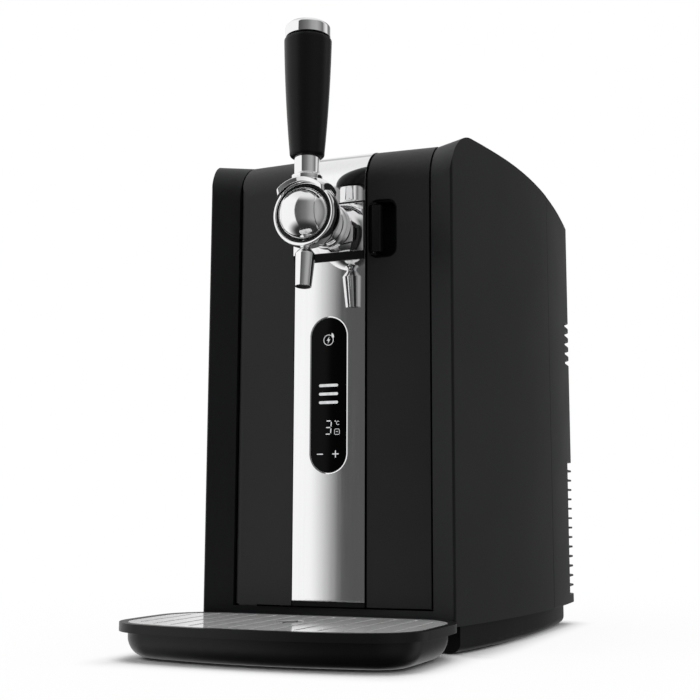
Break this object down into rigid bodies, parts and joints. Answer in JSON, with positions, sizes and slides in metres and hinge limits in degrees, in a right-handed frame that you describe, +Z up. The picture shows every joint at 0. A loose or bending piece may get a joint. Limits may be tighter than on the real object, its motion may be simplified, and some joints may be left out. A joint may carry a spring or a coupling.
{
  "type": "mini keg beer dispenser",
  "caption": "Table-top cooler for a slim keg with a hinged front door, a chrome tap with a tall lever, a touch display and a removable drip tray.",
  "frame": {"origin": "on the surface it stands on, under the middle of the whole object, tray included", "axes": "+X to the right seen from the front, +Y to the back, +Z up; the tap, the lever and the tray are at -Y"},
  "size_m": [0.266, 0.444, 0.497],
  "materials": {
    "charcoal_plastic": "fine matt texture",
    "door_plastic": "satin",
    "dark_plastic": "matt",
    "grip_plastic": "satin",
    "grey_liner": "smooth",
    "foam": "rigid foam",
    "foot_rubber": "matt",
    "gasket_rubber": "matt",
    "polished_steel": "polished stainless steel",
    "tap_chrome": "mirror chrome",
    "bright_steel": "zinc plated",
    "cooler_aluminium": "extruded",
    "ceramic": "ceramic plates",
    "circuit_board": "solder mask",
    "display_glass": "smoked, opaque from outside"
  },
  "bodies": {
    "housing": {"front_housing": "charcoal_plastic", "rear_housing": "charcoal_plastic", "base": "dark_plastic", "rubber_feet": "foot_rubber", "keg_chamber": "grey_liner", "chamber_insulation": "foam", "keg_seat": "dark_plastic", "keg_coupler": "dark_plastic", "cold_plate": "cooler_aluminium", "cooling_module": "ceramic", "heat_sink": "cooler_aluminium", "fan_frame": "dark_plastic", "power_supply": "bright_steel", "air_pump": "dark_plastic", "control_board": "circuit_board", "mains_inlet": "dark_plastic", "hinge_lower": "bright_steel", "hinge_upper": "bright_steel"},
    "door": {"door_panel_left": "door_plastic", "door_panel_right": "door_plastic", "front_strip": "polished_steel", "door_pan": "dark_plastic", "door_insulation": "foam", "door_liner": "grey_liner", "door_gasket": "gasket_rubber", "display_rim": "tap_chrome", "display_window": "display_glass", "display_board": "circuit_board", "band_carrier": "dark_plastic", "band_plate": "polished_steel", "recess_cup": "dark_plastic", "release_pin": "bright_steel", "tap_housing": "tap_chrome", "tap_neck": "tap_chrome", "beer_tube": "bright_steel", "tap_nut": "bright_steel", "spout": "tap_chrome"},
    "release": {"release_grip": "grip_plastic"},
    "lever": {"tap_ball": "tap_chrome", "lever_stem": "tap_chrome", "lever_grip": "grip_plastic", "lever_collar": "grip_plastic", "lever_cap": "tap_chrome"},
    "tray": {"drip_tray": "door_plastic"},
    "grid": {"tray_grid": "polished_steel"},
    "fan": {"fan_impeller": "dark_plastic"}
  },
  "joints": [
    {"name": "door_hinge", "type": "hinge", "parent": "housing", "child": "door", "pos_m": [-0.0805, -0.0688, 0.2], "axis": [0, 0, -1], "range_deg": [0, 95]},
    {"name": "release_pivot", "type": "hinge", "parent": "door", "child": "release", "pos_m": [0.0386, -0.0753, 0.3343], "axis": [0, 0, -1], "range_deg": [0, 20], "stiffness_Nm_per_rad": 0.05},
    {"name": "tap_lever", "type": "hinge", "parent": "door", "child": "lever", "pos_m": [0, -0.1228, 0.3387], "axis": [1, 0, 0], "range_deg": [0, 50]},
    {"name": "tray_slide", "type": "slide", "parent": "housing", "child": "tray", "axis": [0, -1, 0], "range_m": [0, 0.15]},
    {"name": "grid_lift", "type": "slide", "parent": "tray", "child": "grid", "axis": [0, 0, 1], "range_m": [0, 0.06]},
    {"name": "fan_spin", "type": "hinge", "parent": "housing", "child": "fan", "pos_m": [0, 0.186, 0.262], "axis": [0, 1, 0], "continuous": true}
  ]
}
